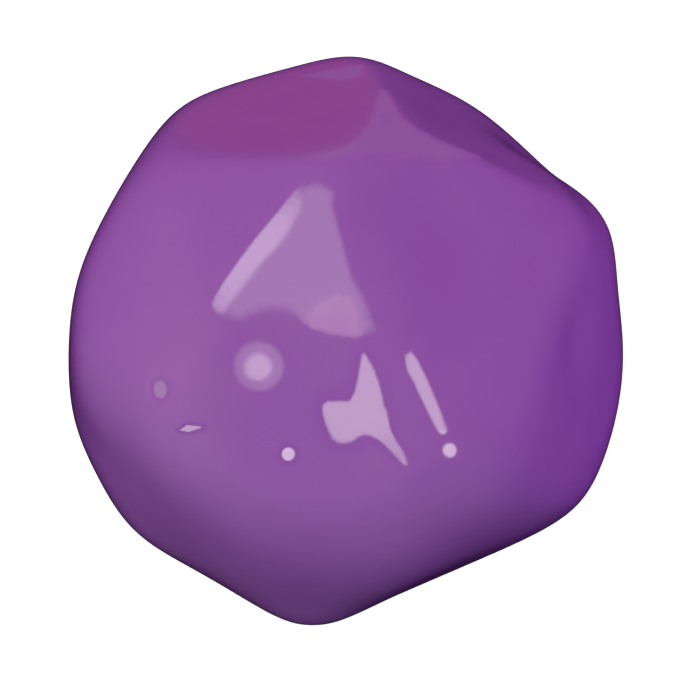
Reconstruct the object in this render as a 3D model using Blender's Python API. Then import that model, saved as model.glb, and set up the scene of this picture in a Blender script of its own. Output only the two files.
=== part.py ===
"""A playground rubber ball, short of air, built as its separate layers and its needle valve.

Units are metres and +Z is up. The origin is the centre of the flat that the ball rests on.
Azimuth 0 faces -Y, azimuth 90 faces +X, and elevation is the angle above the horizontal.
Run with: blender --background --python part.py
"""

from math import asin, cos, pi, radians, sin

import bmesh
import bpy
import numpy as np
from mathutils import Matrix, Vector

# The ball as a whole. Stand-offs, depths and heights of its wall are in ball radii.
BALL_RADIUS = 0.108
FLOOR_STANDOFF = 0.94
CREST_LIMIT = 1.06
CREST_SHARPNESS = 26.0
CREASE_SHARPNESS = 100.0

# Where the slack wall has settled flat: name, azimuth, elevation, stand-off.
SETTLED_PANELS = (
    ("top_back_left", -132, 69, 1.005),
    ("top_back_right", 119, 66, 0.986),
    ("front_middle", -2, 17, 0.985),
    ("front_left", -40, 28, 1.020),
    ("front_right", 34, 31, 0.920),
    ("front_low", -9, -45, 1.007),
    ("low_left", -45, -33, 0.980),
    ("low_right", 37, -40, 0.976),
    ("right_of_front", 62, 2, 0.933),
    ("right_side", 90, 15, 1.026),
    ("right_side_high", 99, 45, 0.964),
    ("right_side_low", 43, -55, 0.938),
    ("left_side_low", -55, -54, 1.008),
    ("left_side_under", -76, -26, 1.036),
    ("left_side", -85, 4, 0.998),
    ("left_side_high", -99, 28, 0.952),
    ("back_left", -137, 14, 0.985),
    ("back_right", 137, 4, 0.990),
    ("back_middle", 178, -12, 0.980),
    ("back_low_left", -132, -36, 0.990),
    ("back_low_right", 126, -38, 0.985),
    ("back_low", 176, -52, 0.985),
)

# Flats that meet in tighter creases: name, azimuth, elevation, stand-off.
CREASED_FLATS = (
    ("top_left_dent", -39, 76, 0.955),
    ("top_right_dent", 84, 61, 0.922),
    ("top_ridge", 18, 75, 0.992),
    ("upper_left_flat", -22, 35, 0.990),
    ("upper_right_flat", 9, 30, 0.956),
    ("triangle_flat", -4, 25.5, 0.955),
    ("middle_flat", -4, 15, 0.950),
)

# Shallow dishes (negative) and raised crests (positive): azimuth, elevation, height, width.
SWELLS = (
    (43, -55, -0.014, 18),
    (103, 46, -0.029, 10),
    (95, 25, 0.039, 11),
    (-19, -65, 0.024, 11),
    (158, 79, 0.014, 10),
    (-69, -38, 0.022, 12),
    (-50, -8, -0.022, 12),
    (60, 12, -0.019, 9),
    (30, 40, -0.010, 10),
    (32, -8, 0.006, 12),
    (-62, -12, -0.019, 10),
)

# Round the valve the wall is stiff, so it keeps its round shape there.
VALVE_AZIMUTH = 180
VALVE_ELEVATION = 40
VALVE_STANDOFF = 1.01
VALVE_STIFF_ANGLE = 15
VALVE_BLEND_ANGLE = 27

# The wall, layer by layer from the outside.
COVER_THICKNESS = 0.0012
PLY_THICKNESS = 0.0005
WINDING_THICKNESS = 0.0004
BLADDER_THICKNESS = 0.0006
PATCH_THICKNESS = 0.0006
LAYER_GAP = 0.0003
PATCH_GAP = 0.0007
COVER_DETAIL = 5
LAYER_DETAIL = 4

# The needle valve. Its own heights are measured outward from the ball's surface.
HOLE_RADIUS = 0.0046
PATCH_RADIUS = 0.022
FLANGE_RADIUS = 0.015
FLANGE_THICKNESS = 0.0012
FLANGE_LIP = 0.0005
NECK_RADIUS = 0.0043
TUBE_RADIUS = 0.0055
TUBE_TIP_RADIUS = 0.0047
TUBE_DEPTH = 0.022
TUBE_TIP_LENGTH = 0.002
BORE_RADIUS = 0.0029
SEAT_RADIUS = 0.0036
SEAT_DEPTH = 0.0015
CORE_HEAD_RADIUS = 0.0033
CORE_HEAD_RECESS = 0.0002
CORE_HEAD_THICKNESS = 0.0010
CORE_RADIUS = 0.0026
CORE_DEPTH = 0.018
CORE_TIP_RADIUS = 0.0020
CORE_TIP_LENGTH = 0.0015
NEEDLE_MOUTH_RADIUS = 0.0014
NEEDLE_RADIUS = 0.0009
NEEDLE_MOUTH_DEPTH = 0.0006
NEEDLE_DEPTH = 0.0045
SLIT_WIDTH = 0.0020
SLIT_THICKNESS = 0.0003
VALVE_SEGMENTS = 32
PATCH_RINGS = 4
FLANGE_RINGS = 3
CUT_OVERSHOOT = 0.002


def direction(azimuth, elevation):
    """Unit vector from the ball's centre, for angles in degrees."""
    a, e = radians(azimuth), radians(elevation)
    return np.array((sin(a) * cos(e), -cos(a) * cos(e), sin(e)))


CENTRE = np.array((0.0, 0.0, FLOOR_STANDOFF * BALL_RADIUS))
VALVE_AXIS = direction(VALVE_AZIMUTH, VALVE_ELEVATION)
VALVE_SURFACE_RADIUS = VALVE_STANDOFF * BALL_RADIUS


def angle_from(units, axis):
    """Angle in degrees between each unit vector and an axis."""
    return np.degrees(np.arccos(np.clip(units @ axis, -1.0, 1.0)))


def cut_flats(units, radius, flats, sharpness):
    """Cut a star-shaped body with the planes of some flats, in ball radii.

    A high-order mean joins the body and the planes, which leaves rounded crests between them.
    """
    total = radius ** -sharpness
    for _, azimuth, elevation, standoff in flats:
        facing = np.clip(units @ direction(azimuth, elevation), 0.0, None)
        total += (facing / standoff) ** sharpness
    return total ** (-1.0 / sharpness)


def wall_radius(units):
    """Distance of the outer surface from the centre, along each unit vector, in metres.

    The ball is a limiting sphere cut by the settled panels and the creased flats, then by its
    shallow swells. The plane of the floor cuts the bottom off flat.
    """
    limit = np.full(len(units), CREST_LIMIT)
    radius = cut_flats(units, limit, SETTLED_PANELS, CREST_SHARPNESS)
    radius = cut_flats(units, radius, CREASED_FLATS, CREASE_SHARPNESS)
    for azimuth, elevation, height, width in SWELLS:
        angle = angle_from(units, direction(azimuth, elevation))
        radius += height * np.exp(-((angle / width) ** 2))
    angle = angle_from(units, VALVE_AXIS)
    spread = (VALVE_BLEND_ANGLE - angle) / (VALVE_BLEND_ANGLE - VALVE_STIFF_ANGLE)
    stiff = np.clip(spread, 0.0, 1.0)
    stiff = stiff * stiff * (3.0 - 2.0 * stiff)
    radius = radius * (1.0 - stiff) + VALVE_STANDOFF * stiff
    down = np.clip(-units[:, 2], 1e-6, None)
    return BALL_RADIUS * np.minimum(radius, FLOOR_STANDOFF / down)


def clear_scene():
    for thing in list(bpy.data.objects):
        bpy.data.objects.remove(thing)


def make_material(name, colour, roughness):
    material = bpy.data.materials.new(name)
    material.use_nodes = True
    shader = material.node_tree.nodes["Principled BSDF"]
    shader.inputs["Base Color"].default_value = (*colour, 1.0)
    shader.inputs["Roughness"].default_value = roughness
    shader.inputs["Metallic"].default_value = 0.0
    return material


def add_object(name, bm, material=None):
    """Turn a bmesh into a scene object, with smooth shading except across sharp edges."""
    bmesh.ops.recalc_face_normals(bm, faces=bm.faces)
    mesh = bpy.data.meshes.new(name)
    bm.to_mesh(mesh)
    bm.free()
    mesh.shade_smooth()
    mesh.set_sharp_from_angle(angle=radians(40))
    thing = bpy.data.objects.new(name, mesh)
    bpy.context.scene.collection.objects.link(thing)
    if material:
        mesh.materials.append(material)
    return thing


def add_wall_surface(bm, detail, depth, inward):
    """Add one closed surface that lies a constant depth under the ball's outer surface."""
    added = bmesh.ops.create_icosphere(bm, subdivisions=detail, radius=1.0)["verts"]
    units = np.array([vert.co.normalized() for vert in added])
    places = CENTRE + units * (wall_radius(units) - depth)[:, None]
    for vert, place in zip(added, places):
        vert.co = place
    if inward:
        faces = {face for vert in added for face in vert.link_faces}
        bmesh.ops.reverse_faces(bm, faces=list(faces))


def make_layer(name, depth, thickness, detail, cutter, material):
    """A hollow layer of the ball's wall, with the valve hole cut through it."""
    bm = bmesh.new()
    add_wall_surface(bm, detail, depth, inward=False)
    add_wall_surface(bm, LAYER_DETAIL, depth + thickness, inward=True)
    mesh = bpy.data.meshes.new(name)
    bm.to_mesh(mesh)
    bm.free()
    mesh.shade_smooth()
    mesh.materials.append(material)
    layer = bpy.data.objects.new(name, mesh)
    bpy.context.scene.collection.objects.link(layer)
    cut(layer, cutter)
    return layer


def cut(thing, cutter):
    boolean = thing.modifiers.new(cutter.name, "BOOLEAN")
    boolean.operation = "DIFFERENCE"
    boolean.solver = "EXACT"
    boolean.object = cutter


def turn(bm, profile):
    """Turn a closed outline of (radius, height) points about Z.

    The outline runs round counter-clockwise. A point on the axis is one vertex.
    """
    rings = []
    for radius, height in profile:
        count = VALVE_SEGMENTS if radius > 0 else 1
        angles = [2 * pi * i / VALVE_SEGMENTS for i in range(count)]
        rings.append([bm.verts.new((radius * cos(a), radius * sin(a), height)) for a in angles])
    for ring, following in zip(rings, rings[1:] + rings[:1]):
        for i in range(VALVE_SEGMENTS):
            j = (i + 1) % VALVE_SEGMENTS
            corners = [ring[i % len(ring)], ring[j % len(ring)]]
            corners += [following[j % len(following)], following[i % len(following)]]
            unique = list(dict.fromkeys(corners))
            if len(unique) > 2:
                bm.faces.new(unique)


def cap_arc(depth, start_radius, end_radius, rings):
    """Points of an arc that lies a depth under the surface, in the valve's (radius, height)."""
    sphere = VALVE_SURFACE_RADIUS - depth
    start, end = asin(start_radius / sphere), asin(end_radius / sphere)
    angles = [start + (end - start) * i / rings for i in range(rings + 1)]
    return [(sphere * sin(a), sphere * cos(a) - VALVE_SURFACE_RADIUS) for a in angles]


def valve_frame():
    """An empty on the valve's axis at the ball's surface, with +Z pointing out of the ball."""
    frame = bpy.data.objects.new("valve_frame", None)
    bpy.context.scene.collection.objects.link(frame)
    turned = Vector(VALVE_AXIS).to_track_quat("Z", "Y").to_matrix().to_4x4()
    surface = Vector(CENTRE + VALVE_AXIS * VALVE_SURFACE_RADIUS)
    frame.matrix_world = Matrix.Translation(surface) @ turned
    return frame


def hide_as_cutter(thing):
    thing.hide_render = True
    thing.display_type = "WIRE"
    return thing


def make_hole_cutter(frame):
    """The drill for the valve hole, from outside the ball to well inside its wall."""
    bm = bmesh.new()
    inner = -TUBE_DEPTH / 2
    turn(bm, [(0, inner), (HOLE_RADIUS, inner), (HOLE_RADIUS, CUT_OVERSHOOT), (0, CUT_OVERSHOOT)])
    cutter = add_object("valve_hole_cutter", bm)
    cutter.parent = frame
    return hide_as_cutter(cutter)


def make_patch(depth, frame, material):
    """A round disc that stiffens the bladder behind the valve."""
    bm = bmesh.new()
    outer = cap_arc(depth, HOLE_RADIUS, PATCH_RADIUS, PATCH_RINGS)
    inner = cap_arc(depth + PATCH_THICKNESS, HOLE_RADIUS, PATCH_RADIUS, PATCH_RINGS)
    turn(bm, inner + outer[::-1])
    patch = add_object("bladder_patch", bm, material)
    patch.parent = frame
    return patch


def make_boot(depth, frame, material):
    """The rubber housing: a flange under the patch, a neck to the surface and a tube inside."""
    flange_top = cap_arc(depth, NECK_RADIUS, FLANGE_RADIUS, FLANGE_RINGS)
    rim_radius, rim_height = flange_top[-1]
    root = cap_arc(depth + FLANGE_THICKNESS, TUBE_RADIUS, TUBE_RADIUS, 1)[0]
    outline = [
        (BORE_RADIUS, -TUBE_DEPTH),
        (TUBE_TIP_RADIUS, -TUBE_DEPTH),
        (TUBE_RADIUS, -TUBE_DEPTH + TUBE_TIP_LENGTH),
        root,
        (rim_radius, rim_height - FLANGE_LIP),
    ]
    outline += flange_top[::-1]
    outline += [
        (NECK_RADIUS, 0.0),
        (SEAT_RADIUS, 0.0),
        (SEAT_RADIUS, -SEAT_DEPTH),
        (BORE_RADIUS, -SEAT_DEPTH),
    ]
    bm = bmesh.new()
    turn(bm, outline)
    boot = add_object("valve_boot", bm, material)
    boot.parent = frame
    return boot


def make_needle_cutter(frame):
    """The round lead-in for an inflating needle."""
    bm = bmesh.new()
    mouth = -CORE_HEAD_RECESS
    turn(bm, [
        (0, -NEEDLE_DEPTH),
        (NEEDLE_RADIUS, -NEEDLE_DEPTH),
        (NEEDLE_RADIUS, mouth - NEEDLE_MOUTH_DEPTH),
        (NEEDLE_MOUTH_RADIUS, mouth),
        (NEEDLE_MOUTH_RADIUS, CUT_OVERSHOOT),
        (0, CUT_OVERSHOOT),
    ])
    cutter = add_object("needle_cutter", bm)
    cutter.parent = frame
    return hide_as_cutter(cutter)


def make_slit_cutter(frame):
    """The self-closing slit, from inside the lead-in to past the core's inner end."""
    bm = bmesh.new()
    bmesh.ops.create_cube(bm, size=1.0)
    top = -NEEDLE_DEPTH + CUT_OVERSHOOT / 2
    bottom = -CORE_DEPTH - CUT_OVERSHOOT
    bmesh.ops.scale(bm, vec=(SLIT_WIDTH, SLIT_THICKNESS, top - bottom), verts=bm.verts)
    bmesh.ops.translate(bm, vec=(0, 0, (top + bottom) / 2), verts=bm.verts)
    cutter = add_object("slit_cutter", bm)
    cutter.parent = frame
    return hide_as_cutter(cutter)


def make_core(frame, material):
    """The soft plug that a needle goes through. It pulls straight out along the valve's axis."""
    head_top = -CORE_HEAD_RECESS
    head_under = head_top - CORE_HEAD_THICKNESS
    bm = bmesh.new()
    turn(bm, [
        (0, -CORE_DEPTH),
        (CORE_TIP_RADIUS, -CORE_DEPTH),
        (CORE_RADIUS, -CORE_DEPTH + CORE_TIP_LENGTH),
        (CORE_RADIUS, head_under),
        (CORE_HEAD_RADIUS, head_under),
        (CORE_HEAD_RADIUS, head_top),
        (0, head_top),
    ])
    core = add_object("valve_core", bm, material)
    core.parent = frame
    cut(core, make_needle_cutter(frame))
    cut(core, make_slit_cutter(frame))
    return core


def build():
    clear_scene()
    purple = make_material("purple_rubber", (0.23, 0.07, 0.34), 0.15)
    ply_rubber = make_material("ply_rubber", (0.16, 0.05, 0.22), 0.6)
    nylon = make_material("nylon_thread", (0.80, 0.78, 0.70), 0.7)
    butyl = make_material("butyl_rubber", (0.03, 0.03, 0.03), 0.55)
    patch_rubber = make_material("patch_rubber", (0.06, 0.06, 0.065), 0.7)
    boot_rubber = make_material("boot_rubber", (0.02, 0.02, 0.02), 0.5)
    core_rubber = make_material("core_rubber", (0.05, 0.05, 0.05), 0.45)

    frame = valve_frame()
    cutter = make_hole_cutter(frame)
    depth = 0.0
    make_layer("outer_cover", depth, COVER_THICKNESS, COVER_DETAIL, cutter, purple)
    depth += COVER_THICKNESS + LAYER_GAP
    make_layer("inner_ply", depth, PLY_THICKNESS, LAYER_DETAIL, cutter, ply_rubber)
    depth += PLY_THICKNESS + LAYER_GAP
    make_layer("nylon_winding", depth, WINDING_THICKNESS, LAYER_DETAIL, cutter, nylon)
    depth += WINDING_THICKNESS + LAYER_GAP
    make_layer("butyl_bladder", depth, BLADDER_THICKNESS, LAYER_DETAIL, cutter, butyl)
    depth += BLADDER_THICKNESS + PATCH_GAP
    make_patch(depth, frame, patch_rubber)
    depth += PATCH_THICKNESS + LAYER_GAP
    make_boot(depth, frame, boot_rubber)
    make_core(frame, core_rubber)


build()
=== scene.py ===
"""The looks of the slack purple play ball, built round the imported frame.

Units are metres and +Z is up. Azimuth 0 faces -Y, azimuth 90 faces +X.
"""

from math import cos, radians, sin

import bmesh
import bpy
import numpy as np
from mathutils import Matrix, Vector


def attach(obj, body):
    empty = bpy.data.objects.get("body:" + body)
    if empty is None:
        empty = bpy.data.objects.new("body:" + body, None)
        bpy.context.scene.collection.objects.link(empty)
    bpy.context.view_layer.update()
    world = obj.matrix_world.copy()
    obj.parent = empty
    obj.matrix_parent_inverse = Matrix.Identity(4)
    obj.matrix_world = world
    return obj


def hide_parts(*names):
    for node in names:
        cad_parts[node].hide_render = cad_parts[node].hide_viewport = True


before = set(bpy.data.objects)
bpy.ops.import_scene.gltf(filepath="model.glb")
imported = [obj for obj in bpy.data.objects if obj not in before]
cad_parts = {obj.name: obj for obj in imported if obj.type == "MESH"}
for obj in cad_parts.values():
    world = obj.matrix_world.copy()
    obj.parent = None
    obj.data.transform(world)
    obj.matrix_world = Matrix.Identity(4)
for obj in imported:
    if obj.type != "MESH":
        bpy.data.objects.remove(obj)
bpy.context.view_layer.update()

# The wall, with the same numbers as the CAD model. Angles are in degrees.
# A panel or flat is its azimuth, elevation and stand-off from the centre in ball radii. A swell is
# its azimuth, elevation, height in ball radii and width in degrees.
BALL_RADIUS = 0.108
FLOOR_STANDOFF = 0.94
CREST_LIMIT = 1.06
CREST_SHARPNESS = 26.0
CREASE_SHARPNESS = 100.0
SETTLED_PANELS = (
    (-132, 69, 1.005),
    (119, 66, 0.986),
    (-2, 17, 0.985),
    (-40, 28, 1.020),
    (34, 31, 0.920),
    (-9, -45, 1.007),
    (-45, -33, 0.980),
    (37, -40, 0.976),
    (62, 2, 0.933),
    (90, 15, 1.026),
    (99, 45, 0.964),
    (43, -55, 0.938),
    (-55, -54, 1.008),
    (-76, -26, 1.036),
    (-85, 4, 0.998),
    (-99, 28, 0.952),
    (-137, 14, 0.985),
    (137, 4, 0.990),
    (178, -12, 0.980),
    (-132, -36, 0.990),
    (126, -38, 0.985),
    (176, -52, 0.985),
)
CREASED_FLATS = (
    (-39, 76, 0.955),
    (84, 61, 0.922),
    (18, 75, 0.992),
    (-22, 35, 0.990),
    (9, 30, 0.956),
    (-4, 25.5, 0.955),
    (-4, 15, 0.950),
)
SWELLS = (
    (43, -55, -0.014, 18),
    (103, 46, -0.029, 10),
    (95, 25, 0.039, 11),
    (-19, -65, 0.024, 11),
    (158, 79, 0.014, 10),
    (-69, -38, 0.022, 12),
    (-50, -8, -0.022, 12),
    (60, 12, -0.019, 9),
    (30, 40, -0.010, 10),
    (32, -8, 0.006, 12),
    (-62, -12, -0.019, 10),
)
VALVE_AZIMUTH = 180
VALVE_ELEVATION = 40
VALVE_STANDOFF = 1.01
VALVE_STIFF_ANGLE = 15
VALVE_BLEND_ANGLE = 27
COVER_THICKNESS = 0.0012
HOLE_RADIUS = 0.0046
RING_INNER_RADIUS = 0.0062
RING_OUTER_RADIUS = 0.0095
RING_SLOPE = 0.0011
RING_HEIGHT = 0.00035
HOLE_SIDES = 96
HOLE_CUTTER_LENGTH = 0.02
SHARP_ANGLE = 50

# Facets and dimples that give the highlights their outlines. They turn the cover's normals and
# leave its surface as it is. A facet is its outline in (azimuth, elevation), the (azimuth,
# elevation) that it faces and the width of its edge in metres. Later ones lie on top.
PRESSED_FACETS = (
    # the big three-cornered flat
    (((-10.5, 48), (-6.5, 48.5), (-2.5, 47.5), (-3, 45), (-0.5, 38), (1.5, 31), (3.5, 28),
      (6, 22), (2, 21.5), (-2.5, 22.5), (-7, 25), (-10, 27.5), (-14.5, 28.5), (-18.5, 26.5),
      (-21.5, 23.5), (-24.5, 23), (-26.5, 24.5), (-25, 28), (-20, 37), (-16, 42), (-13, 45.5)),
     (-3.7, 26), 0.011),
    # the crease along its left side
    (((-13, 45.5), (-10.5, 46), (-11, 43.5), (-14.5, 38.5), (-19, 33.5), (-22, 28.5),
      (-24.5, 24), (-26, 24.5), (-25, 28), (-20, 37), (-16, 42)), (-8.1, 28.1), 0.007),
    # the soft patch at its foot
    (((-6, 22), (-7, 23.5), (-5, 26.5), (-1, 28), (2, 27), (2.5, 24.5), (2, 22), (-2, 21.5)),
     (-2.9, 23.2), 0.009),
    # the tail below the boot-shaped flat
    (((8, 6), (9, 3), (10.5, 0.5), (11.5, -1.5), (12, -3.5), (11, -4), (9, -2), (6, 1), (5, 2),
      (6, 3)), (11.2, 20), 0.005),
    # the boot-shaped flat
    (((3.5, 17), (4.5, 17.5), (5.5, 16), (6.5, 14), (7.5, 11), (8, 8.5), (8, 5.5), (7.5, 3.5),
      (5.5, 2), (3.5, 1), (2, 0), (0.5, -0.5), (-1, -0.5), (-2.5, 0.5), (-3.5, 2.5), (-4.5, 5.5),
      (-4.5, 7.5), (-3, 8.5), (1, 8.5), (2, 10), (2.5, 12), (3, 14.5)), (13.4, 19.3), 0.009),
    # the streak on the crest beside it
    (((12.5, 16), (13.5, 16.5), (14.5, 15), (15.5, 12), (17, 7), (18.5, 2.5), (18, 2.5),
      (16.5, 4.5), (14.5, 9), (13.5, 11.5), (12.5, 13.5)), (11.7, 19.2), 0.0045),
    # the short scuff on the left
    (((-30.5, 1), (-28.5, 2.5), (-26, 2.5), (-25, 2), (-28, 0.5), (-30.5, 0.5)),
     (16.8, 19.5), 0.003),
    # the ridge between the two dents on top
    (((39, 77), (31, 71), (27, 66), (29, 61), (37, 57), (50, 53), (34, 54), (21, 55), (11, 56),
      (3, 56), (8, 60), (14, 65), (22, 71)), (25, 55), 0.005),
    # the gleam on the top crest
    (((-112, 77), (-131, 78), (-149, 80), (177, 82), (146, 84), (61, 86), (6, 86), (-75, 86),
      (-104, 81)), (-20, 62), 0.004),
)
# A dimple is its centre's azimuth and elevation, its facing, and its radius and edge in metres.
DIMPLES = (
    (-10, -2.1, (16.1, 16.9), 0.0028, 0.0040),
    (19.2, -1.3, (12.3, 17), 0.0028, 0.0040),
    (-16.4, 13.6, (-2.9, 25.8), 0.0085, 0.0120),
    (-16.4, 13.6, (-8.2, 30.6), 0.0042, 0.0110),
    (-34.7, 7.3, (-3.0, 28.8), 0.0040, 0.0060),
)
# Where an edge starts: this share of its width outside the outline.
EDGE_REACH = 0.68
# A normal that turns less than this keeps the mesh's own value.
UNTURNED = 1e-5

# Subdivisions of the cover's two surfaces, and the zones round the front of the ball where the
# outer one is twice as fine and where facets and dimples lie.
COVER_DETAIL = 8
INNER_DETAIL = 5
FINE_ZONE = (2, 12)
FINE_ZONE_ANGLE = 42
PRESSED_ZONE_ANGLE = 80

# The camera stands in front of the ball and above it, and aims a little beside the ball's centre.
VIEW_ELEVATION = 20
VIEW_DISTANCE = 0.80
VIEW_LENS = 104.6
VIEW_SENSOR = 36.0
VIEW_AIM_RIGHT = 0.0026
VIEW_AIM_DOWN = 0.0041

# A softbox is its name, the (azimuth, elevation) and distance that it stands at, its (width,
# height), its radiance, its tint and the share of it that is hot before it fades to its edges.
SOFTBOXES = (
    ("strip_lamp", (24.2, 15.5), 1.1, (0.20, 0.42), 7.4, (1.0, 0.91, 0.84), 0.3),
    ("spot_lamp", (25.8, 9), 1.1, (0.10, 0.10), 9.0, (1.0, 0.88, 0.90), 0.5),
    ("facet_box", (-9.5, 34), 1.2, (0.40, 0.40), 2.45, (1.0, 0.97, 0.92), 0.4),
    ("crease_box", (-21, 37.5), 1.2, (0.26, 0.26), 7.2, (1.0, 0.92, 0.95), 0.2),
    ("warm_card", (-5.8, 27.1), 1.2, (0.14, 0.14), 3.6, (1.0, 0.66, 0.68), 0.4),
)

# The room is a sum of broad soft glows, one sum for matt reflections and one for the gloss. A glow
# is the (azimuth, elevation) that it comes from, how narrow it is and its shade.
MATT_GLOWS = (
    ((0, 10), 2, (1.02, 0.83, 0.89)),
    ((0, 15), 8, (0.52, 1.95, 0.88)),
    ((0, 60), 4, (0.95, 0.09, 0.54)),
    ((-90, 10), 2, (0.42, 0.15, 0.18)),
    ((100, 40), 3, (0.85, 0.65, 0.85)),
    ((-60, -40), 2, (0.60, 0.64, 0.64)),
    ((180, 25), 2, (0.70, 0.70, 0.70)),
)
GLOSS_GLOWS = (
    ((-60, 5), 2, (1.08, 0.83, 0.73)),
    ((-95, 10), 3, (0.43, 0.08, 1.01)),
    ((100, -10), 3, (0.40, 0.00, 0.90)),
    ((172, 46), 40, (0.20, 0.00, 0.00)),
    ((165, 76), 12, (0.60, 0.55, 0.00)),
    ((-166, 37), 30, (0.33, 0.02, 0.00)),
)
FLOOR_HALF_SIZE = 4.0


def direction(azimuth, elevation):
    """The unit vector from the ball's centre towards an azimuth and elevation in degrees."""
    a, e = radians(azimuth), radians(elevation)
    return np.array((sin(a) * cos(e), -cos(a) * cos(e), sin(e)))


CENTRE = np.array((0.0, 0.0, FLOOR_STANDOFF * BALL_RADIUS))
VALVE_AXIS = direction(VALVE_AZIMUTH, VALVE_ELEVATION)


# ---- shape of the wall ----

def smooth_step(t):
    """Rise smoothly from 0 to 1 as t goes from 0 to 1."""
    t = np.clip(t, 0.0, 1.0)
    return t * t * (3.0 - 2.0 * t)


def angle_from(units, axis):
    """Angle in degrees between each unit vector and an axis."""
    return np.degrees(np.arccos(np.clip(units @ axis, -1.0, 1.0)))


def arc_from(units, axis):
    """Distance in metres round the ball between each unit vector and an axis."""
    return radians(1) * angle_from(units, axis) * BALL_RADIUS


def cut_flats(units, radius, flats, sharpness):
    """Cut a star-shaped body with planes, leaving rounded crests between them."""
    total = radius ** -sharpness
    for azimuth, elevation, standoff in flats:
        facing = np.clip(units @ direction(azimuth, elevation), 0.0, None)
        total += (facing / standoff) ** sharpness
    return total ** (-1.0 / sharpness)


def wall_radius(units):
    """Distance of the CAD cover's outer surface from the centre, in metres."""
    radius = cut_flats(units, np.full(len(units), CREST_LIMIT), SETTLED_PANELS, CREST_SHARPNESS)
    radius = cut_flats(units, radius, CREASED_FLATS, CREASE_SHARPNESS)
    for azimuth, elevation, height, width in SWELLS:
        angle = angle_from(units, direction(azimuth, elevation))
        radius += height * np.exp(-((angle / width) ** 2))
    spread = VALVE_BLEND_ANGLE - VALVE_STIFF_ANGLE
    stiff = smooth_step((VALVE_BLEND_ANGLE - angle_from(units, VALVE_AXIS)) / spread)
    radius = radius * (1.0 - stiff) + VALVE_STANDOFF * stiff
    down = np.clip(-units[:, 2], 1e-6, None)
    return BALL_RADIUS * np.minimum(radius, FLOOR_STANDOFF / down)


def tangent_axes(axis):
    """Two unit vectors across a direction: to the right, and up the ball."""
    across = np.cross((0.0, 0.0, 1.0), axis)
    across /= np.linalg.norm(across)
    return across, np.cross(axis, across)


def outline_distance(points, outline):
    """Signed distance of 2-D points from a closed outline, positive inside."""
    nearest = np.full(len(points), np.inf)
    inside = np.zeros(len(points), bool)
    for start, end in zip(outline, outline[1:] + outline[:1]):
        start, end = np.array(start), np.array(end)
        edge = end - start
        along = np.clip(((points - start) @ edge) / (edge @ edge), 0.0, 1.0)
        gap = np.linalg.norm(points - start - along[:, None] * edge, axis=1)
        nearest = np.minimum(nearest, gap)
        crosses = (start[1] > points[:, 1]) != (end[1] > points[:, 1])
        height = edge[1] or 1.0  # nothing crosses a level edge
        rise = np.where(crosses, (points[:, 1] - start[1]) / height, 0.0)
        inside ^= crosses & (points[:, 0] < start[0] + rise * edge[0])
    return np.where(inside, nearest, -nearest)


def fine_radius(units):
    """The wall with the raised ring that the mould leaves round the valve."""
    from_valve = arc_from(units, VALVE_AXIS)
    rise = smooth_step((from_valve - RING_INNER_RADIUS) / RING_SLOPE)
    fall = smooth_step((RING_OUTER_RADIUS - from_valve) / RING_SLOPE)
    return wall_radius(units) + RING_HEIGHT * rise * fall


def turn_normals(normals, distance, facing, edge):
    """Turn normals to one facing, more so the further inside the outline they lie."""
    weight = smooth_step(distance / edge + EDGE_REACH)
    normals += weight[:, None] * (direction(*facing) - normals)
    normals /= np.linalg.norm(normals, axis=1)[:, None]


def press_facet(units, normals, outline, facing, edge):
    """Turn the normals inside an outline, measured flat across its middle."""
    corners = [direction(*corner) for corner in outline]
    middle = sum(corners)
    middle /= np.linalg.norm(middle)
    across, upward = tangent_axes(middle)
    flat_outline = [(BALL_RADIUS * (c @ across), BALL_RADIUS * (c @ upward)) for c in corners]
    points = np.stack((units @ across, units @ upward), axis=1) * BALL_RADIUS
    distance = outline_distance(points, flat_outline)
    turn_normals(normals, distance, facing, edge)


def press_dimple(units, normals, azimuth, elevation, facing, radius, edge):
    """Turn the normals inside a circle on the ball."""
    distance = radius - arc_from(units, direction(azimuth, elevation))
    turn_normals(normals, distance, facing, edge)


# ---- meshes ----

def link(thing):
    bpy.context.scene.collection.objects.link(thing)
    return thing


def make_object(name, bm):
    """Turn a finished bmesh into an object."""
    mesh = bpy.data.meshes.new(name)
    bm.to_mesh(mesh)
    bm.free()
    return link(bpy.data.objects.new(name, mesh))


def stand(thing, location, axis):
    """Place a thing with its +Z along an axis."""
    thing.location = Vector(location)
    thing.rotation_euler = Vector(axis).to_track_quat("Z", "Y").to_euler()


def refine_front(bm):
    """Halve the edges round the front, so that the small facets get clear outlines."""
    middle = Vector(direction(*FINE_ZONE))
    limit = cos(radians(FINE_ZONE_ANGLE))
    close = [edge for edge in bm.edges if (edge.verts[0].co.normalized() @ middle) > limit]
    bmesh.ops.subdivide_edges(bm, edges=close, cuts=1, use_grid_fill=True)
    bmesh.ops.triangulate(bm, faces=[face for face in bm.faces if len(face.verts) > 3])


def add_surface(bm, detail, radius_of, depth, inward):
    """Add a closed surface at a depth under a wall formula. Only the outer one is refined."""
    added = bmesh.ops.create_icosphere(bm, subdivisions=detail, radius=1.0)["verts"]
    if not inward:
        refine_front(bm)
        added = list(bm.verts)
    units = np.array([vert.co for vert in added], float)
    units /= np.linalg.norm(units, axis=1)[:, None]
    places = CENTRE + units * (radius_of(units) - depth)[:, None]
    for vert, place in zip(added, places):
        vert.co = place
    if inward:
        faces = {face for vert in added for face in vert.link_faces}
        bmesh.ops.reverse_faces(bm, faces=list(faces))


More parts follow.
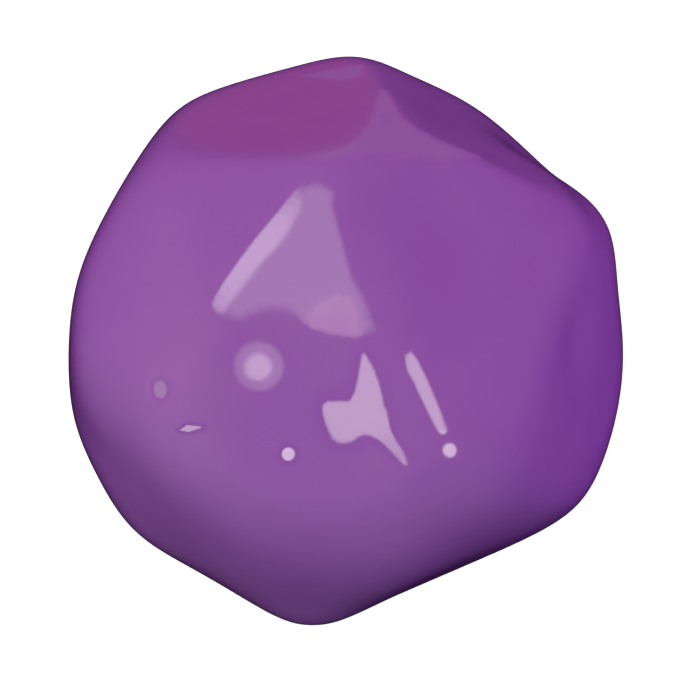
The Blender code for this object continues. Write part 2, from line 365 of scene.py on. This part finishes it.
def press_front(mesh):
    """Turn the normals of the pressed facets and dimples, and keep all the others."""
    places = np.empty(3 * len(mesh.vertices))
    mesh.vertices.foreach_get("co", places)
    places = places.reshape(-1, 3) - CENTRE
    reach = np.linalg.norm(places, axis=1)
    units = places / reach[:, None]
    near = angle_from(units, direction(*FINE_ZONE)) < PRESSED_ZONE_ANGLE
    near[near] &= reach[near] > wall_radius(units[near]) - COVER_THICKNESS / 2
    plain = np.empty(3 * len(mesh.vertices))
    mesh.vertices.foreach_get("normal", plain)
    plain = plain.reshape(-1, 3)[near]
    pressed = plain.copy()
    for facet in PRESSED_FACETS:
        press_facet(units[near], pressed, *facet)
    for dimple in DIMPLES:
        press_dimple(units[near], pressed, *dimple)
    # A custom normal of zero keeps the mesh's own.
    pressed[np.abs(pressed - plain).max(axis=1) < UNTURNED] = 0.0
    custom = np.zeros((len(mesh.vertices), 3))
    custom[near] = pressed
    corners = np.empty(len(mesh.loops), int)
    mesh.loops.foreach_get("vertex_index", corners)
    mesh.normals_split_custom_set(custom[corners])


def cut_valve_hole(cover):
    """Cut a cylinder along the valve's axis out of the cover."""
    bm = bmesh.new()
    bmesh.ops.create_cone(bm, cap_ends=True, segments=HOLE_SIDES, radius1=HOLE_RADIUS,
                          radius2=HOLE_RADIUS, depth=HOLE_CUTTER_LENGTH)
    cutter = make_object("hole_cutter", bm)
    stand(cutter, CENTRE + VALVE_AXIS * BALL_RADIUS, VALVE_AXIS)
    bpy.context.view_layer.update()
    boolean = cover.modifiers.new("valve_hole", "BOOLEAN")
    boolean.operation = "DIFFERENCE"
    boolean.solver = "MANIFOLD"
    boolean.object = cutter
    bpy.context.view_layer.objects.active = cover
    bpy.ops.object.modifier_apply(modifier=boolean.name)
    bpy.data.objects.remove(cutter)


def make_cover():
    """The glossy outer cover: a hollow shell with the valve hole through it."""
    bm = bmesh.new()
    add_surface(bm, COVER_DETAIL, fine_radius, 0.0, inward=False)
    add_surface(bm, INNER_DETAIL, wall_radius, COVER_THICKNESS, inward=True)
    cover = make_object("ball_cover", bm)
    cut_valve_hole(cover)
    cover.data.shade_smooth()
    cover.data.set_sharp_from_angle(angle=radians(SHARP_ANGLE))
    press_front(cover.data)
    return cover


# ---- node trees ----

class Tree:
    """A short way to write a node tree."""

    def __init__(self, tree):
        self.tree = tree

    def add(self, kind, inputs=None, **settings):
        node = self.tree.nodes.new(kind)
        for name, value in settings.items():
            setattr(node, name, value)
        for name, value in (inputs or {}).items():
            self.feed(node.inputs[name], value)
        return node

    def feed(self, socket, value):
        if isinstance(value, bpy.types.NodeSocket):
            self.tree.links.new(value, socket)
        else:
            socket.default_value = value

    def math(self, operation, first, second):
        made = self.add("ShaderNodeMath", operation=operation)
        self.feed(made.inputs[0], first)
        self.feed(made.inputs[1], second)
        return made.outputs["Value"]

    def vector_math(self, operation, first, second):
        made = self.add("ShaderNodeVectorMath", operation=operation)
        self.feed(made.inputs[0], first)
        self.feed(made.inputs["Scale" if operation == "SCALE" else 1], second)
        return made.outputs["Value" if operation in ("DISTANCE", "DOT_PRODUCT") else "Vector"]

    def mix(self, factor, first, second):
        made = self.add("ShaderNodeMix", data_type="RGBA")
        self.feed(made.inputs["Factor"], factor)
        self.feed(made.inputs["A"], first)
        self.feed(made.inputs["B"], second)
        return made.outputs["Result"]

    def ramp(self, value, low, high, low_to=0.0, high_to=1.0, curve="LINEAR"):
        made = self.add("ShaderNodeMapRange", {
            "Value": value, "From Min": low, "From Max": high,
            "To Min": low_to, "To Max": high_to}, interpolation_type=curve)
        return made.outputs["Result"]


class Material(Tree):
    """A material whose textures follow the piece that it is on."""

    def __init__(self, name):
        self.material = bpy.data.materials.new(name)
        self.material.use_nodes = True
        super().__init__(self.material.node_tree)
        self.shader = self.tree.nodes["Principled BSDF"]
        self.place = self.add("ShaderNodeTexCoord").outputs["Object"]

    def noise(self, scale, detail=2.0, roughness=0.5, distortion=0.0, place=None):
        made = self.add("ShaderNodeTexNoise", {
            "Vector": self.place if place is None else place, "Scale": scale,
            "Detail": detail, "Roughness": roughness, "Distortion": distortion})
        return made.outputs["Fac"]

    def mapped(self, **inputs):
        """The place, turned or stretched."""
        made = self.add("ShaderNodeMapping", {"Vector": self.place, **inputs})
        return made.outputs["Vector"]

    def bump(self, height, strength, distance, normal=None):
        inputs = {"Height": height, "Strength": strength, "Distance": distance}
        if normal is not None:
            inputs["Normal"] = normal
        return self.add("ShaderNodeBump", inputs).outputs["Normal"]

    def set(self, **inputs):
        for name, value in inputs.items():
            self.feed(self.shader.inputs[name.replace("_", " ")], value)


def colour(red, green, blue):
    return (red, green, blue, 1.0)


# ---- materials ----

def cover_material():
    """Glossy purple rubber: faint mottling, an orange-peel skin, handling haze and fine scuffs."""
    m = Material("purple_rubber")
    mottle = m.ramp(m.noise(22.0, detail=3.0), 0.35, 0.65)
    base = m.mix(mottle, colour(0.214, 0.071, 0.337), colour(0.228, 0.081, 0.347))
    haze = m.ramp(m.noise(9.0, detail=4.0, roughness=0.6), 0.45, 0.75, high_to=0.05)
    scuffed = m.noise(160.0, detail=6.0, roughness=0.7, distortion=1.5)
    scuffs = m.ramp(scuffed, 0.66, 0.74, high_to=0.10)
    roughness = m.math("ADD", m.math("ADD", haze, scuffs), 0.085)
    skin = m.bump(m.noise(420.0), strength=0.06, distance=0.0003)
    waves = m.bump(m.noise(70.0, detail=1.0), strength=0.05, distance=0.0010, normal=skin)
    m.set(Base_Color=base, Roughness=roughness, Normal=waves, IOR=1.5)
    return m.material


def black_rubber(name, shade, roughness):
    """Moulded black rubber with a fine grain and a little bloom."""
    m = Material(name)
    bloom = m.ramp(m.noise(300.0, detail=4.0, roughness=0.65), 0.4, 0.75)
    base = m.mix(bloom, colour(shade, shade, shade), colour(shade * 2.2, shade * 2.2, shade * 2.3))
    grain = m.bump(m.noise(2500.0, detail=3.0), strength=0.25, distance=0.0001)
    m.set(Base_Color=base, Normal=grain,
          Roughness=m.ramp(bloom, 0.0, 1.0, roughness, roughness + 0.2))
    return m.material


def sheet_rubber(name, low, high, grain_scale):
    """Calendered sheet rubber: rolled streaks, talc in the hollows and a matt surface."""
    m = Material(name)
    stretched = m.mapped(Scale=(4.0, 1.0, 1.0))
    streaks = m.noise(grain_scale, detail=5.0, place=stretched)
    talc = m.ramp(m.noise(35.0, detail=5.0, roughness=0.7), 0.5, 0.8, high_to=0.35)
    rubber = m.mix(streaks, colour(*low), colour(*high))
    dusty = m.mix(talc, rubber, colour(0.45, 0.45, 0.44))
    m.set(Base_Color=dusty, Roughness=m.ramp(talc, 0.0, 0.35, 0.5, 0.8),
          Normal=m.bump(streaks, strength=0.3, distance=0.0002))
    return m.material


def thread_material():
    """Nylon thread wound at many angles: three crossing sets of fine ribs in latex."""
    m = Material("wound_nylon")
    height = None
    for turn in ((0.0, 0.0, 0.3), (1.1, 0.4, 0.0), (0.5, 1.3, 0.9)):
        ribs = m.add("ShaderNodeTexWave", {
            "Vector": m.mapped(Rotation=turn), "Scale": 260.0, "Distortion": 1.5,
            "Detail": 2.0, "Detail Scale": 0.4}).outputs["Fac"]
        height = ribs if height is None else m.math("MAXIMUM", height, ribs)
    base = m.mix(height, colour(0.35, 0.31, 0.24), colour(0.82, 0.80, 0.73))
    m.set(Base_Color=base, Roughness=0.6, Normal=m.bump(height, strength=0.8, distance=0.0003))
    return m.material


def paint_nodes():
    """Give every CAD node that stays its own procedural material."""
    finishes = {
        "inner_ply": sheet_rubber(
            "ply_rubber", low=(0.12, 0.035, 0.17), high=(0.17, 0.055, 0.24), grain_scale=90.0),
        "nylon_winding": thread_material(),
        "butyl_bladder": sheet_rubber(
            "butyl_rubber", low=(0.018, 0.018, 0.019), high=(0.035, 0.035, 0.036),
            grain_scale=60.0),
        "bladder_patch": sheet_rubber(
            "patch_rubber", low=(0.05, 0.05, 0.055), high=(0.09, 0.09, 0.095),
            grain_scale=400.0),
        "valve_boot": black_rubber("boot_rubber", shade=0.018, roughness=0.35),
        "valve_core": black_rubber("core_rubber", shade=0.035, roughness=0.3),
    }
    for name, material in finishes.items():
        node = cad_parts[name]
        node.data.materials.clear()
        node.data.materials.append(material)


# ---- studio ----

def add_camera():
    view = direction(0, VIEW_ELEVATION)
    across, upward = tangent_axes(view)
    aim = CENTRE + VIEW_AIM_RIGHT * across - VIEW_AIM_DOWN * upward
    data = bpy.data.cameras.new("camera")
    data.lens = VIEW_LENS
    data.sensor_width = VIEW_SENSOR
    data.clip_start = 0.01
    camera = link(bpy.data.objects.new("camera", data))
    stand(camera, aim + VIEW_DISTANCE * view, view)
    bpy.context.scene.camera = camera


def fade_edges(data, hot_part):
    """Let a softbox fade from its hot middle to nothing at its edges."""
    data.use_nodes = True
    t = Tree(data.node_tree)
    across = t.add("ShaderNodeNewGeometry").outputs["Parametric"]
    from_middle = t.vector_math("DISTANCE", across, (0.5, 0.5, 0.0))
    fade = t.ramp(from_middle, 0.5, hot_part / 2, curve="SMOOTHSTEP")
    t.feed(t.tree.nodes["Emission"].inputs["Strength"], fade)


def add_softbox(name, facing, distance, size, radiance, tint, hot_part):
    """A rectangular lamp that faces the ball."""
    data = bpy.data.lights.new(name, "AREA")
    data.shape = "RECTANGLE"
    data.size, data.size_y = size
    data.energy = radiance * size[0] * size[1] * np.pi
    data.color = tint
    fade_edges(data, hot_part)
    towards = direction(*facing)
    stand(link(bpy.data.objects.new(name, data)), CENTRE + distance * towards, towards)


def sum_glows(t, glows):
    """The light that comes from each direction: the sum of the glows round it."""
    place = t.add("ShaderNodeTexCoord").outputs["Generated"]
    total = None
    for facing, power, shade in glows:
        along = t.vector_math("DOT_PRODUCT", place, direction(*facing))
        narrow = t.math("POWER", t.math("MAXIMUM", along, 0.0), power)
        glow = t.vector_math("SCALE", shade, narrow)
        total = glow if total is None else t.vector_math("ADD", total, glow)
    return total


def add_world():
    """A soft studio: matt and glossy surfaces see different glows, and the camera sees white."""
    world = bpy.data.worlds.new("studio")
    bpy.context.scene.world = world
    world.use_nodes = True
    t = Tree(world.node_tree)
    path = t.add("ShaderNodeLightPath").outputs
    room = t.mix(path["Is Glossy Ray"], sum_glows(t, MATT_GLOWS), sum_glows(t, GLOSS_GLOWS))
    shown = t.mix(path["Is Camera Ray"], room, colour(1.0, 1.0, 1.0))
    t.feed(t.tree.nodes["Background"].inputs["Color"], shown)


def add_floor():
    """A white floor that neither tints the ball nor shows in its gloss."""
    bm = bmesh.new()
    bmesh.ops.create_grid(bm, x_segments=8, y_segments=8, size=FLOOR_HALF_SIZE)
    floor = make_object("floor", bm)
    m = Material("pale_floor")
    m.set(Base_Color=colour(0.42, 0.45, 0.44), Roughness=0.9, Specular_IOR_Level=0.0,
          Emission_Color=colour(1.0, 1.0, 1.0), Emission_Strength=1.0)
    floor.data.materials.append(m.material)
    floor.visible_glossy = False
    floor.visible_diffuse = False


def make_ball():
    """The fine cover in place of the CAD one, round the painted CAD pieces."""
    cover = make_cover()
    cover.data.materials.clear()
    cover.data.materials.append(cover_material())
    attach(cover, "ball")
    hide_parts("outer_cover")
    paint_nodes()


add_camera()
add_world()
for softbox in SOFTBOXES:
    add_softbox(*softbox)
add_floor()
make_ball()
bpy.context.scene.view_settings.view_transform = "Standard"
